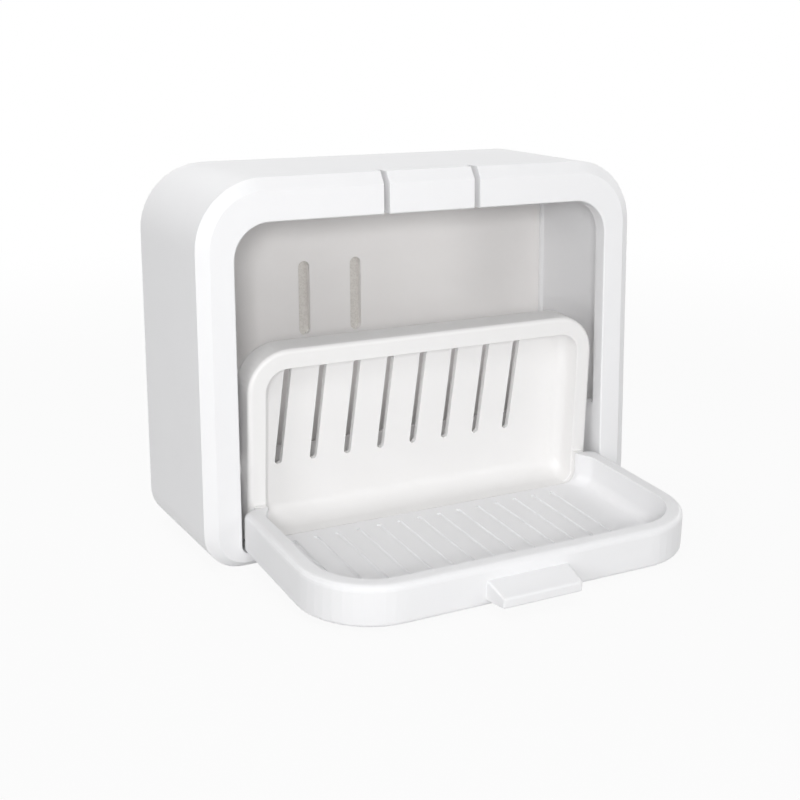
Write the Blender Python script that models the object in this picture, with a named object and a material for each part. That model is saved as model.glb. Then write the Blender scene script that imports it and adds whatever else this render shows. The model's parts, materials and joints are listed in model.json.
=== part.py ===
"""Flip-open soap holder: a box with a sprung latch finger, and a lid that turns with its drain tray.

Metres, +Z up, +Y towards the wall. The origin is the middle of the housing's base.
The lid and tray are drawn level around the hinge axis, and their parent empty lets them droop open.
"""

import math

import bmesh
import bpy
from mathutils import Matrix, Vector

# Housing
HOUSING_WIDTH = 0.1460
HOUSING_HEIGHT = 0.1131
HOUSING_DEPTH = 0.0539
HOUSING_CORNER_RADIUS = 0.0201
HOUSING_LOW_RADIUS = 0.0110
HOUSING_WALL = 0.0026
CAVITY_LOW_RADIUS = 0.0085
REAR_EDGE_ROUND = 0.0010

# Front frame of the housing
CHAMFER_DEPTH = 0.0024
CHAMFER_WIDTH = 0.0035
CHAMFER_WIDTH_BELOW = 0.0018
FACE_LOW_RADIUS = 0.0085
FRAME_THICKNESS = 0.0048
SIDE_BAR_WIDTH = 0.0106
TOP_BAR_WIDTH = 0.0125
BOTTOM_BAR_WIDTH = 0.0045
OPENING_HIGH_RADIUS = 0.0108
OPENING_LOW_RADIUS = 0.0020
OPENING_EDGE_ROUND = 0.0005

# Seat of the back panel
SEAT_LEDGE_WIDTH = 0.0008
SEAT_LEDGE_THICKNESS = 0.0012
SEAT_LEDGE_SLOPE = 0.0008
SEAT_WALL = 0.0015
PANEL_THICKNESS = 0.0030
PANEL_SIDE_GAP = 0.00025
PANEL_SEAT_GAP = 0.00010
PANEL_EDGE_ROUND = 0.0004

# Hanging slots in the back panel
HANG_SLOT_XS = (-0.0206, -0.0023)
HANG_SLOT_LOW = 0.0551
HANG_SLOT_HIGH = 0.0796
HANG_SLOT_WIDTH = 0.0039

# Foam pad in the rear of the back panel
PAD_WIDTH = 0.0960
PAD_LOW = 0.0300
PAD_HIGH = 0.0900
PAD_CORNER_RADIUS = 0.0060
PAD_RECESS_DEPTH = 0.0010
PAD_PROUD = 0.0004
PAD_SIDE_GAP = 0.0003
PAD_SEAT_GAP = 0.00005
PAD_EDGE_ROUND = 0.0002

# Latch finger in the top bar
FINGER_WIDTH = 0.0286
FINGER_SIDE_SLIT = 0.0019
FINGER_ROOT_DEPTH = 0.0074
FINGER_ROOT_GAP = 0.0003
FINGER_EDGE_ROUND = 0.0002

# Hinge of the lid and tray
HINGE_DEPTH = 0.01235
HINGE_HEIGHT = 0.02695
DROOP_DEGREES = 4.05
PIN_RADIUS = 0.0025
PIN_CLEARANCE = 0.0001
PIN_END_ROUND = 0.0004
COLLAR_RADIUS = 0.0034
COLLAR_END_GAP = 0.0008
CHEEK_SIDE_SHIFT = 0.0003
CHEEK_THICKNESS = 0.0025
CHEEK_RADIUS = 0.0050
CHEEK_FRONT_DEPTH = 0.0035
CHEEK_LOW = 0.0015
PIN_END_INSET = 0.0003

# Lid, measured from the hinge axis
LID_SIDE_GAP = 0.00065
LID_REACH = 0.0733
LID_BACK = 0.0112
LID_DEPTH = 0.01182
LID_FRONT_RADIUS = 0.0220
LID_BACK_RADIUS = 0.0028
LID_LOWER_ROUND = 0.0012
LID_BACK_ROUND_SHARE = 0.2
LID_RIM_WIDTH = 0.0050
LID_FLOOR = 0.0016
RIM_EDGE_ROUND = 0.0003
LID_RIM_ROUND = 0.0018
POCKET_FILLET = 0.0035
NECK_BEND_LENGTH = 0.0070
SWING_RADIUS = 0.02115

# Grooves in the lid's floor
GROOVE_COUNT = 14
GROOVE_SIDE_MARGIN = 0.0121
GROOVE_CENTRE_X = -0.0027
GROOVE_WIDTH = 0.0013
GROOVE_DEPTH = 0.0005
GROOVE_FRONT = 0.0625
GROOVE_BACK = 0.0155

# Pull tab on the lid's front wall
TAB_CENTRE_X = -0.0024
TAB_ROOT_WIDTH = 0.0267
TAB_TIP_WIDTH = 0.0252
TAB_LENGTH = 0.0083
TAB_ROOT_HIGH = -0.0131
TAB_ROOT_LOW = -0.0198
TAB_TIP_HIGH = -0.0155
TAB_TIP_LOW = -0.0185
TAB_ROOT_SINK = 0.0020
TAB_EDGE_ROUND = 0.0006

# Drain tray, measured from the hinge axis
TRAY_SIDE_GAP = 0.0034
TRAY_TOP = 0.0371
TRAY_RIM_AHEAD = 0.00934
TRAY_DEPTH = 0.01067
TRAY_FLOOR = 0.0018
TRAY_SIDE_RIM = 0.0054
TRAY_TOP_RIM = 0.0058
TRAY_HIGH_RADIUS = 0.0125
TRAY_POCKET_HIGH_RADIUS = 0.0067
TRAY_FILLET = 0.0040
TRAY_BACK_ROUND = 0.0008
TRAY_FOOT_INSET = 0.0006
TRAY_RIM_ROUND = 0.0013
TRAY_LOW_EDGE_ROUND = 0.0003
TRAY_LOW_RADIUS = 0.0006
LID_TRAY_SEAM = 0.0003
RECESS_SWEEP_RADIUS = 0.0065

# Slanted drain slots in the tray
DRAIN_SLOT_COUNT = 8
DRAIN_SLOT_LEFT_MARGIN = 0.0088
DRAIN_SLOT_RIGHT_MARGIN = 0.0195
DRAIN_SLOT_WIDTH = 0.0023
DRAIN_SLOT_SLANT_DEGREES = 5.7
DRAIN_SLOT_LOW = -0.0012
DRAIN_SLOT_HIGH = 0.0300

# Apron behind the tray's corner, which closes the gap below it when the lid is shut
APRON_THICKNESS = 0.0020
APRON_SINK = 0.0003
APRON_SIDE_INSET = 0.0016
APRON_START_DEGREES = -89.0
APRON_END_DEGREES = -10.0

# Drawing
CUTTER_REACH = 0.0100
SEAL_LIFT = 0.00002
CORNER_STEPS = 12
ROUND_STEPS = 4
FILLET_STEPS = 8
PIN_STEPS = 48
SMOOTH_DEGREES = 32.0

FRONT_Y = -HOUSING_DEPTH / 2
BACK_Y = HOUSING_DEPTH / 2
HINGE_Y = FRONT_Y + HINGE_DEPTH
HINGE_CENTRE = Vector((0.0, HINGE_Y, HINGE_HEIGHT))
OPENING_HALF = HOUSING_WIDTH / 2 - SIDE_BAR_WIDTH
OPENING_HIGH = HOUSING_HEIGHT - TOP_BAR_WIDTH
LID_WIDTH = (OPENING_HALF - LID_SIDE_GAP) * 2
TRAY_WIDTH = (OPENING_HALF - TRAY_SIDE_GAP) * 2
TRAY_INNER_HALF = TRAY_WIDTH / 2 - TRAY_SIDE_RIM
DRAIN_SLOT_FIRST_X = DRAIN_SLOT_LEFT_MARGIN - TRAY_INNER_HALF
DRAIN_SLOT_LAST_X = TRAY_INNER_HALF - DRAIN_SLOT_RIGHT_MARGIN
GROOVE_SPREAD = LID_WIDTH / 2 - LID_RIM_WIDTH - GROOVE_SIDE_MARGIN
CAVITY_TOP = HOUSING_HEIGHT - HOUSING_WALL
LID_UNDERSIDE = -SWING_RADIUS
LID_RIM_TOP = LID_UNDERSIDE + LID_DEPTH
POCKET_BASE = LID_UNDERSIDE + LID_FLOOR
TRAY_BACK = TRAY_DEPTH - TRAY_RIM_AHEAD
TRAY_PANEL = TRAY_BACK - TRAY_FLOOR


def clear_scene():
    """Remove what the start-up file brings."""
    for obj in list(bpy.data.objects):
        bpy.data.objects.remove(obj, do_unlink=True)


def plastic(name, colour, roughness):
    """Return a Principled material for one moulding."""
    material = bpy.data.materials.new(name)
    material.use_nodes = True
    shader = material.node_tree.nodes["Principled BSDF"]
    shader.inputs["Base Color"].default_value = (*colour, 1.0)
    shader.inputs["Roughness"].default_value = roughness
    material.diffuse_color = (*colour, 1.0)
    return material


def rounded_outline(half_width, low, high, low_radius, high_radius):
    """Return the points of a rounded rectangle, counter-clockwise from its lower right corner."""
    corners = (
        (half_width - low_radius, low + low_radius, low_radius, -90.0),
        (half_width - high_radius, high - high_radius, high_radius, 0.0),
        (high_radius - half_width, high - high_radius, high_radius, 90.0),
        (low_radius - half_width, low + low_radius, low_radius, 180.0),
    )
    points = []
    for centre_u, centre_v, radius, start in corners:
        for step in range(CORNER_STEPS + 1):
            angle = math.radians(start + 90.0 * step / CORNER_STEPS)
            points.append((centre_u + radius * math.cos(angle), centre_v + radius * math.sin(angle)))
    return points


def upright_ring(outline, depth):
    """Place an outline in the XZ plane at this Y."""
    return [Vector((u, depth, v)) for u, v in outline]


def flat_ring(outline, height):
    """Place an outline in the XY plane at this Z."""
    return [Vector((u, v, height)) for u, v in outline]


def quarter(radius, steps):
    """Return (inset, travel) pairs of a quarter round, from the face's plane to the side's plane."""
    pairs = []
    for step in range(steps + 1):
        angle = math.radians(90.0 * step / steps)
        pairs.append((radius * (1.0 - math.sin(angle)), radius * (1.0 - math.cos(angle))))
    return pairs


def join_rings(work, rings, closed):
    """Bridge neighbouring rings with quads, and cap the ends or close the chain."""
    layers = [[work.verts.new(point) for point in ring] for ring in rings]
    count = len(layers[0])
    pairs = list(zip(layers, layers[1:]))
    if closed:
        pairs.append((layers[-1], layers[0]))
    for first, second in pairs:
        for index in range(count):
            after = (index + 1) % count
            work.faces.new((first[index], first[after], second[after], second[index]))
    if not closed:
        work.faces.new(layers[0][::-1])
        work.faces.new(layers[-1])


def add_prism(work, profile, along, start, end):
    """Extrude a closed profile of 3D points from start to end along a unit direction."""
    base = [work.verts.new(point + along * start) for point in profile]
    face = work.faces.new(base)
    grown = bmesh.ops.extrude_face_region(work, geom=[face])
    moved = [item for item in grown["geom"] if isinstance(item, bmesh.types.BMVert)]
    bmesh.ops.translate(work, verts=moved, vec=along * (end - start))


def add_rod(work, radius, start, end, end_round):
    """Add a round rod along X around the hinge axis, with its far end rounded."""
    side = 1.0 if end > start else -1.0
    rings = []
    stops = [(radius, start)]
    for inset, travel in reversed(quarter(end_round, ROUND_STEPS)):
        stops.append((radius - inset, end - side * travel))
    for ring_radius, place in stops:
        ring = []
        for step in range(PIN_STEPS):
            angle = math.tau * step / PIN_STEPS
            ring.append(Vector((place, ring_radius * math.cos(angle), ring_radius * math.sin(angle))))
        rings.append(ring)
    join_rings(work, rings, closed=False)


def make_object(name, work, material=None):
    """Turn a bmesh into a linked object with outward faces."""
    bmesh.ops.recalc_face_normals(work, faces=work.faces)
    mesh = bpy.data.meshes.new(name)
    work.to_mesh(mesh)
    work.free()
    obj = bpy.data.objects.new(name, mesh)
    bpy.context.scene.collection.objects.link(obj)
    if material is not None:
        mesh.materials.append(material)
    return obj


def apply_modifier(obj, modifier):
    """Apply one modifier to the object's mesh."""
    bpy.ops.object.select_all(action="DESELECT")
    obj.select_set(True)
    bpy.context.view_layer.objects.active = obj
    bpy.ops.object.modifier_apply(modifier=modifier.name)


def combine(target, work, operation):
    """Join the solids in a bmesh to the target, or cut them from it."""
    tool = make_object(f"{target.name}_tool", work)
    tool.hide_render = True
    tool.display_type = "WIRE"
    modifier = target.modifiers.new(operation.lower(), "BOOLEAN")
    modifier.operation = operation
    modifier.solver = "EXACT"
    modifier.object = tool
    apply_modifier(target, modifier)
    bpy.data.objects.remove(tool, do_unlink=True)


def finish(obj):
    """Shade the piece smooth across its rounds and sharp across its edges."""
    mesh = obj.data
    mesh.polygons.foreach_set("use_smooth", [True] * len(mesh.polygons))
    mesh.set_sharp_from_angle(angle=math.radians(SMOOTH_DEGREES))


# Housing


def housing_outline(inset):
    """Return the housing's outer outline, moved in by inset."""
    half = HOUSING_WIDTH / 2 - inset
    low_radius = HOUSING_LOW_RADIUS - inset
    return rounded_outline(half, inset, HOUSING_HEIGHT - inset, low_radius, HOUSING_CORNER_RADIUS - inset)


def face_outline():
    """Return the outer edge of the frame's flat front face."""
    return rounded_outline(
        HOUSING_WIDTH / 2 - CHAMFER_WIDTH,
        CHAMFER_WIDTH_BELOW,
        HOUSING_HEIGHT - CHAMFER_WIDTH,
        FACE_LOW_RADIUS,
        HOUSING_CORNER_RADIUS - CHAMFER_WIDTH,
    )


def opening_outline(growth):
    """Return the frame's opening, moved out by growth."""
    return rounded_outline(
        OPENING_HALF + growth,
        BOTTOM_BAR_WIDTH - growth,
        OPENING_HIGH + growth,
        OPENING_LOW_RADIUS + growth,
        OPENING_HIGH_RADIUS + growth,
    )


def cavity_outline(inset):
    """Return the housing's inner outline, moved in by inset."""
    return rounded_outline(
        HOUSING_WIDTH / 2 - HOUSING_WALL - inset,
        HOUSING_WALL + inset,
        CAVITY_TOP - inset,
        CAVITY_LOW_RADIUS - inset,
        HOUSING_CORNER_RADIUS - HOUSING_WALL - inset,
    )


def housing_rings():
    """Return the housing's rings, from the rear edge round the front frame and back inside."""
    seat = BACK_Y - PANEL_THICKNESS - PANEL_SEAT_GAP
    ledge = seat - SEAT_LEDGE_THICKNESS
    frame_back = FRONT_Y + FRAME_THICKNESS
    rings = []
    for inset, travel in quarter(REAR_EDGE_ROUND, ROUND_STEPS):
        rings.append(upright_ring(housing_outline(inset), BACK_Y - travel))
    rings.append(upright_ring(housing_outline(0.0), FRONT_Y + CHAMFER_DEPTH))
    rings.append(upright_ring(face_outline(), FRONT_Y))
    for inset, travel in quarter(OPENING_EDGE_ROUND, ROUND_STEPS):
        rings.append(upright_ring(opening_outline(inset), FRONT_Y + travel))
    rings.append(upright_ring(opening_outline(0.0), frame_back))
    rings.append(upright_ring(cavity_outline(0.0), frame_back))
    rings.append(upright_ring(cavity_outline(0.0), ledge - SEAT_LEDGE_SLOPE))
    rings.append(upright_ring(cavity_outline(SEAT_LEDGE_WIDTH), ledge))
    rings.append(upright_ring(cavity_outline(SEAT_LEDGE_WIDTH), seat))
    rings.append(upright_ring(housing_outline(SEAT_WALL), seat))
    rings.append(upright_ring(housing_outline(SEAT_WALL), BACK_Y))
    return rings


def cheek_profile():
    """Return the side view of a bearing cheek: a post with a round head about the hinge axis."""
    front = FRONT_Y + CHEEK_FRONT_DEPTH
    back = HINGE_Y + CHEEK_RADIUS
    points = [Vector((0.0, back, CHEEK_LOW))]
    for step in range(FILLET_STEPS * 2 + 1):
        angle = math.radians(90.0 * step / (FILLET_STEPS * 2))
        away = CHEEK_RADIUS * math.cos(angle)
        rise = CHEEK_RADIUS * math.sin(angle)
        points.append(Vector((0.0, HINGE_Y + away, HINGE_HEIGHT + rise)))
    points.append(Vector((0.0, front, HINGE_HEIGHT + CHEEK_RADIUS)))
    points.append(Vector((0.0, front, CHEEK_LOW)))
    return points


def add_cheeks(work):
    """Add both bearing cheeks, just outside the opening's sides."""
    inner = OPENING_HALF + CHEEK_SIDE_SHIFT
    for side in (-1.0, 1.0):
        add_prism(work, cheek_profile(), Vector((side, 0.0, 0.0)), inner, inner + CHEEK_THICKNESS)


def add_bearing_holes(work):
    """Add the cutters of the pin holes in both cheeks."""
    radius = PIN_RADIUS + PIN_CLEARANCE
    inner = OPENING_HALF + CHEEK_SIDE_SHIFT
    for side in (-1.0, 1.0):
        profile = []
        for step in range(PIN_STEPS):
            angle = math.tau * step / PIN_STEPS
            away = radius * math.cos(angle)
            rise = radius * math.sin(angle)
            profile.append(Vector((0.0, HINGE_Y + away, HINGE_HEIGHT + rise)))
        start = inner - COLLAR_END_GAP
        end = inner + CHEEK_THICKNESS + COLLAR_END_GAP
        add_prism(work, profile, Vector((side, 0.0, 0.0)), start, end)


def add_finger_window(work):
    """Add the cutter of the gap in the top bar that the latch finger fills."""
    half = FINGER_WIDTH / 2 + FINGER_SIDE_SLIT
    low = OPENING_HIGH - CUTTER_REACH
    high = HOUSING_HEIGHT + CUTTER_REACH
    profile = [
        Vector((-half, 0.0, low)),
        Vector((half, 0.0, low)),
        Vector((half, 0.0, high)),
        Vector((-half, 0.0, high)),
    ]
    add_prism(work, profile, Vector((0.0, 1.0, 0.0)), FRONT_Y - CUTTER_REACH, FRONT_Y + FINGER_ROOT_DEPTH)


def build_housing():
    """Build the box: outer shell, chamfered front frame, panel seat and bearing cheeks."""
    work = bmesh.new()
    join_rings(work, housing_rings(), closed=True)
    housing = make_object("housing", work, plastic("housing_plastic", (0.86, 0.86, 0.87), 0.38))
    cheeks = bmesh.new()
    add_cheeks(cheeks)
    combine(housing, cheeks, "UNION")
    holes = bmesh.new()
    add_bearing_holes(holes)
    combine(housing, holes, "DIFFERENCE")
    window = bmesh.new()
    add_finger_window(window)
    combine(housing, window, "DIFFERENCE")
    finish(housing)
    return housing


# Back panel


def build_back_panel():
    """Build the panel that closes the housing's rear, with its two slots and the pad's recess."""
    seat = BACK_Y - PANEL_THICKNESS
    rings = []
    for inset, travel in quarter(PANEL_EDGE_ROUND, ROUND_STEPS):
        rings.append(upright_ring(housing_outline(SEAT_WALL + PANEL_SIDE_GAP + inset), seat + travel))
    rings.append(upright_ring(housing_outline(SEAT_WALL + PANEL_SIDE_GAP), BACK_Y))
    work = bmesh.new()
    join_rings(work, rings, closed=False)
    panel = make_object("back_panel", work, plastic("panel_plastic", (0.84, 0.84, 0.84), 0.42))
    slots = bmesh.new()
    radius = HANG_SLOT_WIDTH / 2
    for centre in HANG_SLOT_XS:
        profile = []
        for u, v in rounded_outline(radius, HANG_SLOT_LOW, HANG_SLOT_HIGH, radius, radius):
            profile.append(Vector((centre + u, 0.0, v)))
        add_slot_prism(slots, profile, seat - CUTTER_REACH, BACK_Y + CUTTER_REACH)
    combine(panel, slots, "DIFFERENCE")
    recess = bmesh.new()
    profile = upright_ring(pad_outline(-PAD_SIDE_GAP), 0.0)
    add_prism(recess, profile, Vector((0.0, 1.0, 0.0)), BACK_Y - PAD_RECESS_DEPTH, BACK_Y + CUTTER_REACH)
    combine(panel, recess, "DIFFERENCE")
    finish(panel)
    return panel


def add_slot_prism(work, profile, start, end):
    """Add a slot's cutter, dropping the points that its round ends would repeat."""
    kept = []
    for point in profile:
        if not kept or (point - kept[-1]).length > SEAL_LIFT:
            kept.append(point)
    if (kept[0] - kept[-1]).length <= SEAL_LIFT:
        kept.pop()
    add_prism(work, kept, Vector((0.0, 1.0, 0.0)), start, end)


# Wall pad


def pad_outline(inset):
    """Return the wall pad's outline, moved in by inset."""
    radius = PAD_CORNER_RADIUS - inset
    return rounded_outline(PAD_WIDTH / 2 - inset, PAD_LOW + inset, PAD_HIGH - inset, radius, radius)


def build_wall_pad():
    """Build the foam pad behind the slots, a little proud of the panel so that it takes the wall."""
    rings = [upright_ring(pad_outline(0.0), BACK_Y - PAD_RECESS_DEPTH + PAD_SEAT_GAP)]
    for inset, travel in reversed(quarter(PAD_EDGE_ROUND, ROUND_STEPS)):
        rings.append(upright_ring(pad_outline(inset), BACK_Y + PAD_PROUD - travel))
    work = bmesh.new()
    join_rings(work, rings, closed=False)
    pad = make_object("wall_pad", work, plastic("pad_foam", (0.6, 0.59, 0.57), 0.85))
    finish(pad)
    return pad


# Latch finger


def build_latch_finger():
    """Build the sprung middle of the top bar, with its origin on the bend at its root."""
    root = FRONT_Y + FINGER_ROOT_DEPTH - FINGER_ROOT_GAP
    frame_back = FRONT_Y + FRAME_THICKNESS
    bend = Vector((0.0, root + FINGER_ROOT_GAP / 2, HOUSING_HEIGHT - HOUSING_WALL / 2))
    side_view = [(frame_back, OPENING_HIGH), (frame_back, CAVITY_TOP), (root, CAVITY_TOP)]
    side_view += [(root, HOUSING_HEIGHT), (FRONT_Y + CHAMFER_DEPTH, HOUSING_HEIGHT)]
    side_view += [(FRONT_Y, HOUSING_HEIGHT - CHAMFER_WIDTH)]
    for inset, travel in quarter(OPENING_EDGE_ROUND, ROUND_STEPS):
        side_view.append((FRONT_Y + travel, OPENING_HIGH + inset))
    profile = [Vector((0.0, y, z)) - bend for y, z in side_view]
    work = bmesh.new()
    add_prism(work, profile, Vector((1.0, 0.0, 0.0)), -FINGER_WIDTH / 2, FINGER_WIDTH / 2)
    finger = make_object("latch_finger", work, plastic("finger_plastic", (0.86, 0.86, 0.87), 0.38))
    finger.location = bend
    bevel = finger.modifiers.new("edges", "BEVEL")
    bevel.width = FINGER_EDGE_ROUND
    bevel.segments = 2
    bevel.limit_method = "ANGLE"
    bevel.angle_limit = math.radians(SMOOTH_DEGREES)
    apply_modifier(finger, bevel)
    finish(finger)
    return finger


# Lid


def lid_outline(inset):
    """Return the lid's outer outline in plan, moved in by inset at the sides and front."""
    front = -LID_REACH + inset
    back = -LID_BACK - inset * LID_BACK_ROUND_SHARE
    return rounded_outline(LID_WIDTH / 2 - inset, front, back, LID_FRONT_RADIUS - inset, LID_BACK_RADIUS)


def pocket_outline(inset):
    """Return the lid's pocket in plan: round in front, and bent in to the tray's width behind."""
    half = LID_WIDTH / 2 - LID_RIM_WIDTH - inset
    neck = TRAY_INNER_HALF + RIM_EDGE_ROUND - inset
    front = -LID_REACH + LID_RIM_WIDTH + inset
    radius = LID_FRONT_RADIUS - LID_RIM_WIDTH - inset
    right = []
    for step in range(CORNER_STEPS + 1):
        angle = math.radians(-90.0 + 90.0 * step / CORNER_STEPS)
        right.append((half - radius + radius * math.cos(angle), front + radius + radius * math.sin(angle)))
    bend_start = -LID_BACK - NECK_BEND_LENGTH
    for step in range(FILLET_STEPS + 1):
        share = step / FILLET_STEPS
        ease = (1.0 - math.cos(math.pi * share)) / 2
        right.append((half + (neck - half) * ease, bend_start + NECK_BEND_LENGTH * share))
    right.append((neck, CUTTER_REACH))
    left = [(-u, v) for u, v in reversed(right)]
    return right + left


def build_lid():
    """Build the lid: a shallow dish with a broad rim, open behind where the tray carries on."""
    rings = []
    for inset, travel in quarter(LID_LOWER_ROUND, ROUND_STEPS):
        rings.append(flat_ring(lid_outline(inset), LID_UNDERSIDE + travel))
    for inset, travel in reversed(quarter(LID_RIM_ROUND, ROUND_STEPS)):
        rings.append(flat_ring(lid_outline(inset), LID_RIM_TOP - travel))
    work = bmesh.new()
    join_rings(work, rings, closed=False)
    lid = make_object("front_door", work, plastic("door_plastic", (0.86, 0.86, 0.87), 0.36))
    pocket = bmesh.new()
    add_pocket(pocket)
    combine(lid, pocket, "DIFFERENCE")
    grooves = bmesh.new()
    add_grooves(grooves)
    combine(lid, grooves, "DIFFERENCE")
    tab = bmesh.new()
    add_tab(tab)
    combine(lid, tab, "UNION")
    finish(lid)
    return lid


def add_pocket(work):
    """Add the cutter of the lid's pocket, with a rounded mouth and a filleted floor."""
    rings = [flat_ring(pocket_outline(-RIM_EDGE_ROUND), LID_RIM_TOP + CUTTER_REACH)]
    for inset, travel in quarter(RIM_EDGE_ROUND, ROUND_STEPS):
        rings.append(flat_ring(pocket_outline(-inset), LID_RIM_TOP + SEAL_LIFT - travel))
    for inset, travel in reversed(quarter(POCKET_FILLET, FILLET_STEPS)):
        rings.append(flat_ring(pocket_outline(inset), POCKET_BASE + travel))
    join_rings(work, rings, closed=False)


def add_grooves(work):
    """Add the cutters of the fine grooves that run front to back along the floor."""
    for index in range(GROOVE_COUNT):
        centre = GROOVE_CENTRE_X + GROOVE_SPREAD * (index * 2 / (GROOVE_COUNT - 1) - 1)
        profile = []
        for step in range(ROUND_STEPS * 2 + 1):
            angle = math.pi * step / (ROUND_STEPS * 2)
            across = GROOVE_WIDTH / 2 * math.cos(angle)
            down = GROOVE_DEPTH * math.sin(angle)
            profile.append(Vector((centre + across, 0.0, POCKET_BASE - down)))
        profile.append(Vector((centre - GROOVE_WIDTH / 2, 0.0, POCKET_BASE + GROOVE_DEPTH)))
        profile.append(Vector((centre + GROOVE_WIDTH / 2, 0.0, POCKET_BASE + GROOVE_DEPTH)))
        add_prism(work, profile, Vector((0.0, 1.0, 0.0)), -GROOVE_FRONT, -GROOVE_BACK)


def add_tab(work):
    """Add the pull tab: a wedge that thins and narrows towards its tip."""
    root = -LID_REACH + TAB_ROOT_SINK
    tip = -LID_REACH - TAB_LENGTH
    ends = (
        (root, TAB_ROOT_WIDTH, TAB_ROOT_LOW, TAB_ROOT_HIGH),
        (tip, TAB_TIP_WIDTH, TAB_TIP_LOW, TAB_TIP_HIGH),
    )
    rings = []
    for place, width, low, high in ends:
        ring = []
        for side, height in ((-1.0, low), (1.0, low), (1.0, high), (-1.0, high)):
            ring.append(Vector((TAB_CENTRE_X + side * width / 2, place, height)))
        rings.append(ring)
    join_rings(work, rings, closed=False)
    bmesh.ops.recalc_face_normals(work, faces=work.faces)
    outer = [edge for edge in work.edges if any(vert.co.y < root - TAB_ROOT_SINK for vert in edge.verts)]
    bmesh.ops.bevel(
        work,
        geom=outer,
        offset=TAB_EDGE_ROUND,
        segments=ROUND_STEPS,
        profile=0.5,
        affect="EDGES",
    )


# Drain tray


def tray_outline(inset, low, high, high_radius):
    """Return the tray's outline seen from the front."""
    return rounded_outline(TRAY_WIDTH / 2 - inset, low, high, TRAY_LOW_RADIUS, high_radius)


def swing_low(depth):
    """Return the tray's lowest height at this depth: level, then round about the hinge axis."""
    if depth <= 0.0:
        return -SWING_RADIUS
    return -math.sqrt(SWING_RADIUS**2 - depth**2)


def tray_rings():
    """Return the tray's outer rings, from its foot at the lid's seam to its back."""
    foot_front = -LID_BACK + LID_TRAY_SEAM
    rim = -TRAY_RIM_AHEAD
    foot_low = -SWING_RADIUS + TRAY_FOOT_INSET
    foot = tray_outline(TRAY_RIM_ROUND + TRAY_LOW_EDGE_ROUND, foot_low, LID_RIM_TOP, TRAY_LOW_RADIUS)
    rings = [upright_ring(foot, foot_front), upright_ring(foot, rim)]
    for inset, travel in quarter(TRAY_RIM_ROUND, ROUND_STEPS):
        low = -SWING_RADIUS + min(inset, TRAY_LOW_EDGE_ROUND)
        outline = tray_outline(inset, low, TRAY_TOP - inset, TRAY_HIGH_RADIUS - inset)
        rings.append(upright_ring(outline, rim + travel))
    side_end = TRAY_BACK - TRAY_BACK_ROUND
    for step in range(FILLET_STEPS + 1):
        depth = side_end * step / FILLET_STEPS
        rings.append(upright_ring(tray_outline(0.0, swing_low(depth), TRAY_TOP, TRAY_HIGH_RADIUS), depth))
    for inset, travel in list(reversed(quarter(TRAY_BACK_ROUND, ROUND_STEPS)))[1:]:
        depth = TRAY_BACK - travel
        outline = tray_outline(inset, swing_low(depth) + inset, TRAY_TOP - inset, TRAY_HIGH_RADIUS - inset)
        rings.append(upright_ring(outline, depth))
    return rings


def recess_outline(inset, low):
    """Return the tray's recess seen from the front, moved in by inset at its sides and top."""
    half = TRAY_INNER_HALF - inset
    high = TRAY_TOP - TRAY_TOP_RIM - inset
    radius = TRAY_POCKET_HIGH_RADIUS - inset
    return rounded_outline(half, low, high, POCKET_FILLET, radius)


def add_recess(work):
    """Add the cutter of the tray's recess, whose floor sweeps round into the lid's floor."""
    rim = -TRAY_RIM_AHEAD
    rings = [upright_ring(recess_outline(-RIM_EDGE_ROUND, POCKET_BASE), -LID_BACK - CUTTER_REACH)]
    for inset, travel in quarter(RIM_EDGE_ROUND, ROUND_STEPS):
        rings.append(upright_ring(recess_outline(-inset, POCKET_BASE), rim - SEAL_LIFT + travel))
    sweep_start = TRAY_PANEL - RECESS_SWEEP_RADIUS
    fillet_start = TRAY_PANEL - TRAY_FILLET
    for step in range(FILLET_STEPS * 2 + 1):
        angle = math.radians(90.0 * step / (FILLET_STEPS * 2))
        depth = sweep_start + RECESS_SWEEP_RADIUS * math.sin(angle)
        low = POCKET_BASE + RECESS_SWEEP_RADIUS * (1.0 - math.cos(angle))
        along = max(0.0, depth - fillet_start)
        inset = TRAY_FILLET - math.sqrt(max(0.0, TRAY_FILLET**2 - along**2))
        rings.append(upright_ring(recess_outline(inset, low), depth))
    join_rings(work, rings, closed=False)


def add_drain_slots(work):
    """Add the cutters of the row of slanted slots in the tray's floor."""
    slant = math.radians(DRAIN_SLOT_SLANT_DEGREES)
    middle = (DRAIN_SLOT_LOW + DRAIN_SLOT_HIGH) / 2
    radius = DRAIN_SLOT_WIDTH / 2
    half_length = (DRAIN_SLOT_HIGH - DRAIN_SLOT_LOW) / 2
    turn = Matrix.Rotation(slant, 4, "Y")
    for index in range(DRAIN_SLOT_COUNT):
        share = index / (DRAIN_SLOT_COUNT - 1)
        centre = DRAIN_SLOT_FIRST_X + (DRAIN_SLOT_LAST_X - DRAIN_SLOT_FIRST_X) * share
        profile = []
        for u, v in rounded_outline(radius, -half_length, half_length, radius, radius):
            profile.append(turn @ Vector((u, 0.0, v)) + Vector((centre, 0.0, middle)))
        add_slot_prism(work, profile, TRAY_PANEL - TRAY_FILLET, TRAY_BACK + CUTTER_REACH)


def add_apron(work):
    """Add the curved apron that runs on behind the tray's corner, round the hinge axis."""
    outer = SWING_RADIUS - APRON_SINK
    inner = outer - APRON_THICKNESS
    profile = []
    steps = FILLET_STEPS * 2
    for radius, order in ((outer, range(steps + 1)), (inner, range(steps, -1, -1))):
        for step in order:
            share = step / steps
            angle = math.radians(APRON_START_DEGREES + (APRON_END_DEGREES - APRON_START_DEGREES) * share)
            profile.append(Vector((0.0, radius * math.cos(angle), radius * math.sin(angle))))
    half = TRAY_WIDTH / 2 - APRON_SIDE_INSET
    add_prism(work, profile, Vector((1.0, 0.0, 0.0)), -half, half)


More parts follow.
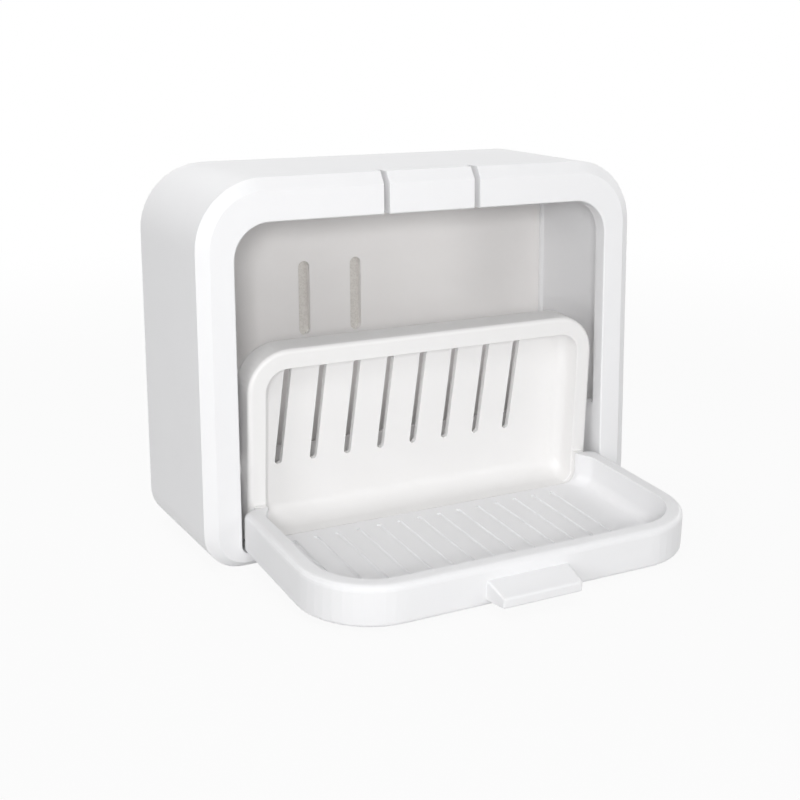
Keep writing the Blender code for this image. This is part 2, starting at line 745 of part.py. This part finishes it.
def add_pins(work):
    """Add the hinge pins and their collars on both sides of the tray."""
    inner = OPENING_HALF + CHEEK_SIDE_SHIFT
    wall = TRAY_WIDTH / 2 - TRAY_SIDE_RIM / 2
    for side in (-1.0, 1.0):
        add_rod(work, COLLAR_RADIUS, side * wall, side * (inner - COLLAR_END_GAP), PIN_END_ROUND)


def add_pin_ends(work):
    """Add the thinner ends that turn in the cheeks."""
    start = TRAY_WIDTH / 2
    end = OPENING_HALF + CHEEK_SIDE_SHIFT + CHEEK_THICKNESS - PIN_END_INSET
    for side in (-1.0, 1.0):
        add_rod(work, PIN_RADIUS, side * start, side * end, PIN_END_ROUND)


def build_tray():
    """Build the drain tray with its recess, slanted slots, apron and hinge pins."""
    work = bmesh.new()
    join_rings(work, tray_rings(), closed=False)
    tray = make_object("drain_tray", work, plastic("tray_plastic", (0.85, 0.85, 0.86), 0.38))
    for add_shape, operation in (
        (add_apron, "UNION"),
        (add_recess, "DIFFERENCE"),
        (add_drain_slots, "DIFFERENCE"),
        (add_pins, "UNION"),
        (add_pin_ends, "UNION"),
    ):
        shape = bmesh.new()
        add_shape(shape)
        combine(tray, shape, operation)
    finish(tray)
    return tray


def hang_on_hinge(pieces):
    """Parent the lid and tray to an empty on the hinge axis, turned to the drooped open pose."""
    axis = bpy.data.objects.new("flip_axis", None)
    bpy.context.scene.collection.objects.link(axis)
    axis.location = HINGE_CENTRE
    axis.rotation_euler = (math.radians(DROOP_DEGREES), 0.0, 0.0)
    for piece in pieces:
        piece.parent = axis


def main():
    """Build every piece."""
    clear_scene()
    build_housing()
    build_back_panel()
    build_wall_pad()
    build_latch_finger()
    hang_on_hinge([build_lid(), build_tray()])


main()
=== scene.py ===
"""Dresses the soap holder: satin moulded plastics, a pale studio and the photograph's camera."""

import json
import logging
import math
from dataclasses import dataclass, field
from enum import Enum

import bpy
from mathutils import Matrix, Vector

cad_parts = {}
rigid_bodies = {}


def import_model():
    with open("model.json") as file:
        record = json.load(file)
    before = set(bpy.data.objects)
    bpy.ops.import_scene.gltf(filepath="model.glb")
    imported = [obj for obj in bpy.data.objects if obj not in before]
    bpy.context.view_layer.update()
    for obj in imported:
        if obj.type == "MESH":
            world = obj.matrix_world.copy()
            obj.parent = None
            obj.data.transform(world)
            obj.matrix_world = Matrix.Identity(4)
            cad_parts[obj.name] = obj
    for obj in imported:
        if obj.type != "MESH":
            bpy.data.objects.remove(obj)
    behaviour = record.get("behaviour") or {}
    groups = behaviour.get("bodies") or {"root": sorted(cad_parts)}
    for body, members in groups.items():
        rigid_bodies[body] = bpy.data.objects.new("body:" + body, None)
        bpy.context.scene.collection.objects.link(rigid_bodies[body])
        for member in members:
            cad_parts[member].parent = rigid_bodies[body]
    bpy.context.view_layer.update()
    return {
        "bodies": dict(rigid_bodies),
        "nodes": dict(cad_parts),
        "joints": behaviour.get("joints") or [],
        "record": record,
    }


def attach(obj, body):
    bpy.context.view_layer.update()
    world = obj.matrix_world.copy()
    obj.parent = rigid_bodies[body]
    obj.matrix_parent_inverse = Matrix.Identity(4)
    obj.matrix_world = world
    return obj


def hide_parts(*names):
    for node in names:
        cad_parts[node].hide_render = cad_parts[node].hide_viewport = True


Triple = tuple[float, float, float]

WHITE = (1.0, 1.0, 1.0, 1.0)

log = logging.getLogger("soap_holder")


class Node(Enum):
    """Shader nodes that the finishes and the studio use, by Blender's own names."""

    COORDINATES = "ShaderNodeTexCoord"
    MAPPING = "ShaderNodeMapping"
    NOISE = "ShaderNodeTexNoise"
    VORONOI = "ShaderNodeTexVoronoi"
    RAMP = "ShaderNodeMapRange"
    MATH = "ShaderNodeMath"
    LENGTH = "ShaderNodeVectorMath"
    MIX = "ShaderNodeMix"
    BUMP = "ShaderNodeBump"
    GROUP = "ShaderNodeGroup"
    GROUP_IN = "NodeGroupInput"
    GROUP_OUT = "NodeGroupOutput"
    GLOW = "ShaderNodeEmission"
    SKY = "ShaderNodeBackground"
    RAYS = "ShaderNodeLightPath"
    BLEND = "ShaderNodeMixShader"


class Part(Enum):
    """The holder's mouldings, by their CAD node."""

    HOUSING = "housing"
    REAR_WALL = "back_panel"
    FOAM_PAD = "wall_pad"
    FINGER = "latch_finger"
    LID = "front_door"
    TRAY = "drain_tray"


def add_node(
    tree: bpy.types.NodeTree, kind: Node, values: dict[str, object] | None = None, **settings: object
) -> bpy.types.Node:
    """Add one node to a tree.

    Args:
        tree: The tree that gets the node.
        kind: Which node it is.
        values: What its input sockets hold, by socket name.
        settings: Properties to set on it, by name.

    Returns:
        The new node.
    """
    node = tree.nodes.new(kind.value)
    for name, value in settings.items():
        setattr(node, name, value)
    for name, value in (values or {}).items():
        node.inputs[name].default_value = value
    return node


def mix_colours(tree: bpy.types.NodeTree) -> bpy.types.Node:
    """Add a colour mix node. Its factor is input 0, its colours 6 and 7, and its result output 2."""
    return add_node(tree, Node.MIX, data_type="RGBA")


def new_group(name: str, inputs: dict[str, str], outputs: dict[str, str]) -> bpy.types.ShaderNodeTree:
    """Make an empty node group with named sockets.

    Args:
        name: The group's name.
        inputs: Its inputs, each with its kind of socket.
        outputs: Its outputs, each with its kind of socket.

    Returns:
        The group.
    """
    group = bpy.data.node_groups.new(name, "ShaderNodeTree")
    for side, sockets in (("INPUT", inputs), ("OUTPUT", outputs)):
        for label, kind in sockets.items():
            group.interface.new_socket(label, in_out=side, socket_type="NodeSocket" + kind)
    return group


def take_alone(obj: bpy.types.Object) -> None:
    """Select one object alone and make it active.

    Args:
        obj: The object that the next operators work on.
    """
    bpy.ops.object.select_all(action="DESELECT")
    obj.select_set(True)
    bpy.context.view_layer.objects.active = obj


@dataclass(frozen=True)
class MouldSkin:
    """The skin that every moulding shares: flow tone, satin grain, orange peel and faint rub marks."""

    flow_detail: float = 4.0
    flow_distortion: float = 0.6
    flow_low: float = 0.32
    flow_high: float = 0.68
    grain_detail: float = 2.0
    grain_middle: float = 0.5
    peel_scale: float = 420.0
    peel_share: float = 0.35
    rub_turn: Triple = (0.3, 0.2, 0.6)
    rub_scale: Triple = (60.0, 900.0, 420.0)
    rub_detail: float = 3.0
    rub_low: float = 0.62
    rub_high: float = 0.78

    def make(self) -> bpy.types.ShaderNodeTree:
        """Build the group.

        Returns:
            A group with colour, roughness and height outputs.
        """
        numbers = ("Flow Scale", "Grain Scale", "Roughness", "Spread", "Scuff")
        group = new_group(
            "mould_skin",
            {"Tone": "Color", "Flow Tone": "Color"} | {name: "Float" for name in numbers},
            {"Colour": "Color", "Roughness": "Float", "Height": "Float"},
        )
        entry = add_node(group, Node.GROUP_IN)
        leave = add_node(group, Node.GROUP_OUT)
        place = add_node(group, Node.COORDINATES)
        grain = add_node(group, Node.NOISE, {"Detail": self.grain_detail})
        wire = group.links.new
        wire(place.outputs["Object"], grain.inputs["Vector"])
        wire(entry.outputs["Grain Scale"], grain.inputs["Scale"])
        wire(self.flow_tone(group, entry, place), leave.inputs["Colour"])
        swing = add_node(group, Node.MATH, operation="SUBTRACT")
        swing.inputs[1].default_value = self.grain_middle
        wire(grain.outputs["Fac"], swing.inputs[0])
        rough = add_node(group, Node.MATH, operation="MULTIPLY_ADD")
        wire(swing.outputs["Value"], rough.inputs[0])
        wire(entry.outputs["Spread"], rough.inputs[1])
        wire(entry.outputs["Roughness"], rough.inputs[2])
        worn = add_node(group, Node.MATH, operation="MULTIPLY_ADD")
        wire(self.rub_marks(group, place), worn.inputs[0])
        wire(entry.outputs["Scuff"], worn.inputs[1])
        wire(rough.outputs["Value"], worn.inputs[2])
        wire(worn.outputs["Value"], leave.inputs["Roughness"])
        peel = add_node(group, Node.VORONOI, {"Scale": self.peel_scale}, feature="SMOOTH_F1")
        wire(place.outputs["Object"], peel.inputs["Vector"])
        height = add_node(group, Node.MATH, operation="MULTIPLY_ADD")
        height.inputs[1].default_value = self.peel_share
        wire(peel.outputs["Distance"], height.inputs[0])
        wire(grain.outputs["Fac"], height.inputs[2])
        wire(height.outputs["Value"], leave.inputs["Height"])
        return group

    def flow_tone(
        self, group: bpy.types.ShaderNodeTree, entry: bpy.types.Node, place: bpy.types.Node
    ) -> bpy.types.NodeSocket:
        """Blend the two tones as the melt flowed.

        Args:
            group: The group that gets the nodes.
            entry: The group's inputs.
            place: The coordinates.

        Returns:
            The colour socket.
        """
        wire = group.links.new
        flow = add_node(group, Node.NOISE, {"Detail": self.flow_detail, "Distortion": self.flow_distortion})
        wire(place.outputs["Object"], flow.inputs["Vector"])
        wire(entry.outputs["Flow Scale"], flow.inputs["Scale"])
        share = add_node(group, Node.RAMP, {"From Min": self.flow_low, "From Max": self.flow_high})
        wire(flow.outputs["Fac"], share.inputs["Value"])
        blend = mix_colours(group)
        wire(share.outputs["Result"], blend.inputs[0])
        wire(entry.outputs["Tone"], blend.inputs[6])
        wire(entry.outputs["Flow Tone"], blend.inputs[7])
        return blend.outputs[2]

    def rub_marks(self, group: bpy.types.ShaderNodeTree, place: bpy.types.Node) -> bpy.types.NodeSocket:
        """Draw thin slanting rub marks.

        Args:
            group: The group that gets the nodes.
            place: The coordinates.

        Returns:
            The mask socket.
        """
        wire = group.links.new
        stretch = add_node(group, Node.MAPPING, {"Rotation": self.rub_turn, "Scale": self.rub_scale})
        rubs = add_node(group, Node.NOISE, {"Scale": 1.0, "Detail": self.rub_detail})
        wire(place.outputs["Object"], stretch.inputs["Vector"])
        wire(stretch.outputs["Vector"], rubs.inputs["Vector"])
        lines = add_node(group, Node.RAMP, {"From Min": self.rub_low, "From Max": self.rub_high})
        wire(rubs.outputs["Fac"], lines.inputs["Value"])
        return lines.outputs["Result"]


@dataclass(frozen=True)
class SatinPlastic:
    """A satin moulded plastic with a tone, gloss and grain; for the rear panel and the tray the tone also
    carries painted light and shade.
    """

    name: str
    tone: Triple
    flow_tone: Triple
    roughness: float = 0.42
    spread: float = 0.08
    flow_scale: float = 22.0
    grain_scale: float = 5200.0
    grain_height: float = 0.00002
    grain_strength: float = 0.25
    scuff: float = 0.05
    ior: float = 1.49

    def make(self, skin: bpy.types.ShaderNodeTree) -> bpy.types.Material:
        """Make the material.

        Args:
            skin: The shared mould skin group.

        Returns:
            The finished material.
        """
        material = bpy.data.materials.new(self.name)
        material.use_nodes = True
        tree = material.node_tree
        shader = tree.nodes["Principled BSDF"]
        shader.inputs["IOR"].default_value = self.ior
        surface = add_node(tree, Node.GROUP, node_tree=skin)
        for name, value in (
            ("Tone", (*self.tone, 1.0)),
            ("Flow Tone", (*self.flow_tone, 1.0)),
            ("Flow Scale", self.flow_scale),
            ("Grain Scale", self.grain_scale),
            ("Roughness", self.roughness),
            ("Spread", self.spread),
            ("Scuff", self.scuff),
        ):
            surface.inputs[name].default_value = value
        bump = add_node(tree, Node.BUMP, {"Strength": self.grain_strength, "Distance": self.grain_height})
        wire = tree.links.new
        wire(surface.outputs["Colour"], shader.inputs["Base Color"])
        wire(surface.outputs["Roughness"], shader.inputs["Roughness"])
        wire(surface.outputs["Height"], bump.inputs["Height"])
        wire(bump.outputs["Normal"], shader.inputs["Normal"])
        return material


@dataclass(frozen=True)
class PadFoam:
    """A grey closed-cell foam mounting pad behind the rear slots; its grey is also painted shade seen
    through the slots.
    """

    name: str = "grey_foam_and_slot_shade"
    # These grey tones are the foam's, and also painted shade seen through the rear panel's slots.
    skin: Triple = (0.78, 0.755, 0.72)
    pore: Triple = (0.68, 0.655, 0.62)
    roughness: float = 0.9
    cell_scale: float = 1500.0
    cell_low: float = 0.15
    cell_high: float = 0.75
    cell_height: float = 0.0001
    cell_strength: float = 0.5

    def cells(self) -> bpy.types.ShaderNodeTree:
        """Build the look of the foam's fine cells.

        Returns:
            A group with colour and height outputs.
        """
        group = new_group(
            "foam_cells", {"Skin": "Color", "Pore": "Color"}, {"Colour": "Color", "Height": "Float"}
        )
        entry = add_node(group, Node.GROUP_IN)
        leave = add_node(group, Node.GROUP_OUT)
        place = add_node(group, Node.COORDINATES)
        cells = add_node(group, Node.VORONOI, {"Scale": self.cell_scale}, feature="F1")
        share = add_node(group, Node.RAMP, {"From Min": self.cell_low, "From Max": self.cell_high})
        blend = mix_colours(group)
        wire = group.links.new
        wire(place.outputs["Object"], cells.inputs["Vector"])
        wire(cells.outputs["Distance"], share.inputs["Value"])
        wire(share.outputs["Result"], blend.inputs[0])
        wire(entry.outputs["Pore"], blend.inputs[6])
        wire(entry.outputs["Skin"], blend.inputs[7])
        wire(blend.outputs[2], leave.inputs["Colour"])
        wire(share.outputs["Result"], leave.inputs["Height"])
        return group

    def make(self) -> bpy.types.Material:
        """Make the material.

        Returns:
            The finished material.
        """
        material = bpy.data.materials.new(self.name)
        material.use_nodes = True
        tree = material.node_tree
        shader = tree.nodes["Principled BSDF"]
        shader.inputs["Roughness"].default_value = self.roughness
        surface = add_node(tree, Node.GROUP, node_tree=self.cells())
        surface.inputs["Skin"].default_value = (*self.skin, 1.0)
        surface.inputs["Pore"].default_value = (*self.pore, 1.0)
        bump = add_node(tree, Node.BUMP, {"Strength": self.cell_strength, "Distance": self.cell_height})
        wire = tree.links.new
        wire(surface.outputs["Colour"], shader.inputs["Base Color"])
        wire(surface.outputs["Height"], bump.inputs["Height"])
        wire(bump.outputs["Normal"], shader.inputs["Normal"])
        return material


@dataclass
class SoftFrame:
    """A moulding of the front frame, redrawn with the soft bevel edges that a mould leaves."""

    part: Part
    piece_name: str
    body: str
    slot_name: str
    edge_round: float = 0.0006
    edge_steps: int = 4
    crease: float = 20.0
    band: float = 0.00004
    depth_digits: int = 5
    least_chamfer: float = 0.0015
    merge_distance: float = 0.000004
    flat_angle: float = 0.4
    smooth_angle: float = 32.0
    shading_weight: int = 80

    def build(self, node: bpy.types.Object, material: bpy.types.Material) -> bpy.types.Object:
        """Copy the node, join its loose triangles, round the frame's edges and dress it.

        Args:
            node: The CAD node that the piece stands for.
            material: The piece's finish.

        Returns:
            The finished piece.
        """
        piece = self.copy_of(node)
        self.round_frame(piece)
        piece.data.materials.clear()
        piece.data.materials.append(material)
        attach(piece, self.body)
        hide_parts(self.part.value)
        log.info("built %s with %d faces as %s", piece.name, len(piece.data.polygons), material.name)
        return piece

    def copy_of(self, node: bpy.types.Object) -> bpy.types.Object:
        """Return a merged copy of a CAD node, with its flat areas joined to single faces.

        Args:
            node: The CAD node.

        Returns:
            The copy, on its own in the scene.
        """
        piece = bpy.data.objects.new(self.piece_name, node.data.copy())
        bpy.context.scene.collection.objects.link(piece)
        take_alone(piece)
        if piece.data.has_custom_normals:
            bpy.ops.mesh.customdata_custom_splitnormals_clear()
        bpy.ops.object.mode_set(mode="EDIT")
        bpy.ops.mesh.select_all(action="SELECT")
        bpy.ops.mesh.remove_doubles(threshold=self.merge_distance)
        bpy.ops.mesh.dissolve_limited(angle_limit=math.radians(self.flat_angle))
        bpy.ops.object.mode_set(mode="OBJECT")
        return piece

    def frame_edges(self, piece: bpy.types.Object) -> list[int]:
        """Find the edges on both sides of the frame's chamfer.

        Args:
            piece: The merged piece.

        Returns:
            The indices of the edges.
        """
        mesh = piece.data
        front = min(vert.co.y for vert in mesh.vertices)
        depths = sorted({round(vert.co.y, self.depth_digits) for vert in mesh.vertices})
        rear = next(y for y in depths if y > front + self.least_chamfer)
        faces: dict[tuple[int, int], list[Vector]] = {}
        for face in mesh.polygons:
            for key in face.edge_keys:
                faces.setdefault(tuple(sorted(key)), []).append(face.normal)
        found = []
        for edge in mesh.edges:
            ends = [mesh.vertices[index].co.y for index in edge.vertices]
            level = any(all(abs(y - plane) < self.band for y in ends) for plane in (front, rear))
            sides = faces.get(tuple(sorted(edge.vertices)), [])
            bent = len(sides) == 2 and math.degrees(sides[0].angle(sides[1])) > self.crease
            if level and bent:
                found.append(edge.index)
        return found

    def round_frame(self, piece: bpy.types.Object) -> None:
        """Bevel the frame's edges softly and shade the piece evenly.

        Args:
            piece: The merged piece.
        """
        for item in (piece.data.vertices, piece.data.edges, piece.data.polygons):
            item.foreach_set("select", [False] * len(item))
        found = self.frame_edges(piece)
        for index in found:
            piece.data.edges[index].select = True
        take_alone(piece)
        bpy.ops.object.mode_set(mode="EDIT")
        bpy.ops.mesh.select_mode(type="EDGE")
        bpy.ops.mesh.bevel(
            offset=self.edge_round, segments=self.edge_steps, affect="EDGES", clamp_overlap=True
        )
        bpy.ops.object.mode_set(mode="OBJECT")
        bpy.ops.object.shade_smooth_by_angle(angle=math.radians(self.smooth_angle))
        even = piece.modifiers.new("even_shading", "WEIGHTED_NORMAL")
        even.keep_sharp = True
        even.weight = self.shading_weight
        bpy.ops.object.modifier_apply(modifier=even.name)
        log.info("rounded %d edges of %s", len(found), piece.name)


@dataclass
class Holder:
    """The soap holder's pieces and their finishes."""

    housing: SatinPlastic = SatinPlastic("satin_housing", (0.885, 0.885, 0.895), (0.87, 0.87, 0.88))
    # The rear panel's tone is lighter than the housing's: painted light that brightens the shaded inside of
    # the box. It is also a little warmer.
    panel: SatinPlastic = SatinPlastic(
        "panel_tone_painted_light", (0.935, 0.915, 0.903), (0.92, 0.9, 0.888), roughness=0.5
    )
    finger: SatinPlastic = SatinPlastic("satin_finger", (0.885, 0.885, 0.895), (0.875, 0.875, 0.885))
    door: SatinPlastic = SatinPlastic(
        "satin_door", (0.875, 0.875, 0.885), (0.86, 0.86, 0.87), roughness=0.38
    )
    # The tray's tone is darker and warmer than the door's: painted shade against the light bounced off the
    # lid's floor, and a painted warm reflection of the soap.
    tray: SatinPlastic = SatinPlastic(
        "tray_tone_painted_shade", (0.87, 0.863, 0.858), (0.855, 0.847, 0.842), roughness=0.4
    )
    foam: PadFoam = PadFoam()

    def build(self, nodes: dict[str, bpy.types.Object]) -> None:
        """Dress every piece, and rebuild the housing and the latch finger with soft edges.

        Args:
            nodes: The CAD nodes by name.
        """
        skin = MouldSkin().make()
        finishes = {
            Part.HOUSING: self.housing.make(skin),
            Part.REAR_WALL: self.panel.make(skin),
            Part.FOAM_PAD: self.foam.make(),
            Part.FINGER: self.finger.make(skin),
            Part.LID: self.door.make(skin),
            Part.TRAY: self.tray.make(skin),
        }
        for part, material in finishes.items():
            for slot in nodes[part.value].material_slots:
                slot.material = material
            log.info("dressed %s as %s", part.value, material.name)
        for frame in (
            SoftFrame(Part.HOUSING, "box_shell", "box", "housing_plastic"),
            SoftFrame(Part.FINGER, "spring_finger", "latch", "finger_plastic"),
        ):
            frame.build(nodes[frame.part.value], finishes[frame.part])


@dataclass(frozen=True)
class Softbox:
    """One square lamp that faces the holder."""

    name: str
    place: Triple
    size: float
    power: float
    target: Triple = (0.0, 0.0, 0.05)

    def hang(self) -> None:
        """Hang the lamp and aim it."""
        place, target = Vector(self.place), Vector(self.target)
        bpy.ops.object.select_all(action="DESELECT")
        bpy.ops.object.light_add(type="AREA", location=place)
        lamp = bpy.context.active_object
        lamp.name = self.name
        lamp.data.shape = "SQUARE"
        lamp.data.size = self.size
        lamp.data.energy = self.power
        lamp.rotation_euler = (target - place).to_track_quat("-Z", "Y").to_euler()


@dataclass
class Studio:
    """A pale floor, a white backdrop and soft lamps around the holder."""

    floor_size: float = 6.0
    floor_drop: float = 0.0002
    floor_tone: float = 0.6
    floor_roughness: float = 0.9
    white_share: float = 0.93
    fade_start: float = 0.2
    fade_end: float = 0.6
    sky_strength: float = 0.18
    lamps: tuple[Softbox, ...] = (
        Softbox("key_softbox", (0.6, -1.3, 0.2), 0.45, 2.75),
        Softbox("front_lamp", (-0.36, -0.71, 0.245), 0.1, 2.0, (0.0, 0.0, 0.06)),
        Softbox("high_softbox", (-0.2, -0.95, 0.9), 0.4, 2.6),
        Softbox("side_softbox", (-1.1, -0.75, 0.3), 0.5, 3.8),
        Softbox("top_softbox", (-0.1, 0.1, 1.3), 1.0, 3.3),
        Softbox("right_softbox", (1.3, 0.25, 0.45), 0.8, 3.0),
        Softbox("rear_softbox", (-0.15, 0.75, 1.1), 0.8, 4.9, (0.0, 0.0, 0.08)),
    )

    def build(self) -> None:
        """Lay the floor, light the sky and hang the lamps."""
        self.lay_floor()
        self.light_sky()
        for lamp in self.lamps:
            lamp.hang()

    def direct_rays(self, tree: bpy.types.NodeTree) -> bpy.types.NodeSocket:
        """Tell the rays that see the backdrop itself, from the camera or in a gloss.

        Args:
            tree: The tree that gets the nodes.

        Returns:
            A socket that is 1 for these rays.
        """
        path = add_node(tree, Node.RAYS)
        either = add_node(tree, Node.MATH, operation="MAXIMUM")
        tree.links.new(path.outputs["Is Camera Ray"], either.inputs[0])
        tree.links.new(path.outputs["Is Glossy Ray"], either.inputs[1])
        return either.outputs["Value"]

    def lay_floor(self) -> None:
        """Lay the floor: nearly white, and it still takes the holder's shadow."""
        bpy.ops.object.select_all(action="DESELECT")
        bpy.ops.mesh.primitive_plane_add(size=self.floor_size, location=(0.0, 0.0, -self.floor_drop))
        floor = bpy.context.active_object
        floor.name = "studio_floor"
        bpy.ops.object.transform_apply(location=True, rotation=True, scale=True)
        material = bpy.data.materials.new("studio_white")
        material.use_nodes = True
        tree = material.node_tree
        shader = tree.nodes["Principled BSDF"]
        shader.inputs["Base Color"].default_value = (self.floor_tone, self.floor_tone, self.floor_tone, 1.0)
        shader.inputs["Roughness"].default_value = self.floor_roughness
        shader.inputs["Specular IOR Level"].default_value = 0.0
        glow = add_node(tree, Node.GLOW)
        blend = add_node(tree, Node.BLEND)
        seen = add_node(tree, Node.MATH, operation="MULTIPLY")
        place = add_node(tree, Node.COORDINATES)
        reach = add_node(tree, Node.LENGTH, operation="LENGTH")
        fade = add_node(
            tree,
            Node.RAMP,
            {"From Min": self.fade_start, "From Max": self.fade_end, "To Min": self.white_share},
            interpolation_type="SMOOTHSTEP",
        )
        wire = tree.links.new
        wire(place.outputs["Object"], reach.inputs[0])
        wire(reach.outputs["Value"], fade.inputs["Value"])
        wire(self.direct_rays(tree), seen.inputs[0])
        wire(fade.outputs["Result"], seen.inputs[1])
        wire(seen.outputs["Value"], blend.inputs["Fac"])
        wire(shader.outputs["BSDF"], blend.inputs[1])
        wire(glow.outputs["Emission"], blend.inputs[2])
        wire(blend.outputs["Shader"], tree.nodes["Material Output"].inputs["Surface"])
        floor.data.materials.append(material)

    def light_sky(self) -> None:
        """Light the world softly, and show it white behind the holder."""
        world = bpy.data.worlds.new("studio_sky")
        bpy.context.scene.world = world
        world.use_nodes = True
        tree = world.node_tree
        sky = tree.nodes["Background"]
        sky.inputs["Color"].default_value = WHITE
        sky.inputs["Strength"].default_value = self.sky_strength
        white = add_node(tree, Node.SKY, {"Color": WHITE, "Strength": 1.0})
        blend = add_node(tree, Node.BLEND)
        wire = tree.links.new
        wire(self.direct_rays(tree), blend.inputs["Fac"])
        wire(sky.outputs["Background"], blend.inputs[1])
        wire(white.outputs["Background"], blend.inputs[2])
        wire(blend.outputs["Shader"], tree.nodes["World Output"].inputs["Surface"])


@dataclass
class PhotoCamera:
    """The camera of the photograph, in the holder's own frame."""

    place: Vector = field(default_factory=lambda: Vector((-0.19563, -0.39508, 0.15523)))
    yaw: float = 30.6025
    pitch: float = 10.9834
    roll: float = 0.4058
    lens: float = 63.2038
    sensor: float = 36.0
    nearest: float = 0.01
    shift: tuple[float, float] = (-0.12051, -0.12784)

    def build(self) -> None:
        """Create the camera and make it the scene's own."""
        yaw, pitch, roll = (math.radians(value) for value in (self.yaw, self.pitch, self.roll))
        ahead = Vector((math.sin(yaw) * math.cos(pitch), math.cos(yaw) * math.cos(pitch), -math.sin(pitch)))
        right = ahead.cross(Vector((0.0, 0.0, 1.0))).normalized()
        up = right.cross(ahead)
        side = right * math.cos(roll) + up * math.sin(roll)
        top = up * math.cos(roll) - right * math.sin(roll)
        turn = Matrix((side, top, -ahead)).transposed()
        data = bpy.data.cameras.new("photo_camera")
        data.sensor_width = self.sensor
        data.lens = self.lens
        data.shift_x, data.shift_y = self.shift
        data.clip_start = self.nearest
        camera = bpy.data.objects.new("photo_camera", data)
        bpy.context.scene.collection.objects.link(camera)
        camera.matrix_world = Matrix.Translation(self.place) @ turn.to_4x4()
        bpy.context.scene.camera = camera


def main() -> None:
    """Build the scene in order and report each piece."""
    logging.basicConfig(level=logging.INFO, format="%(message)s")
    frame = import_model()
    bpy.context.scene.view_settings.view_transform = "Standard"
    Holder().build(frame["nodes"])
    Studio().build()
    PhotoCamera().build()


if __name__ == "__main__":
    main()
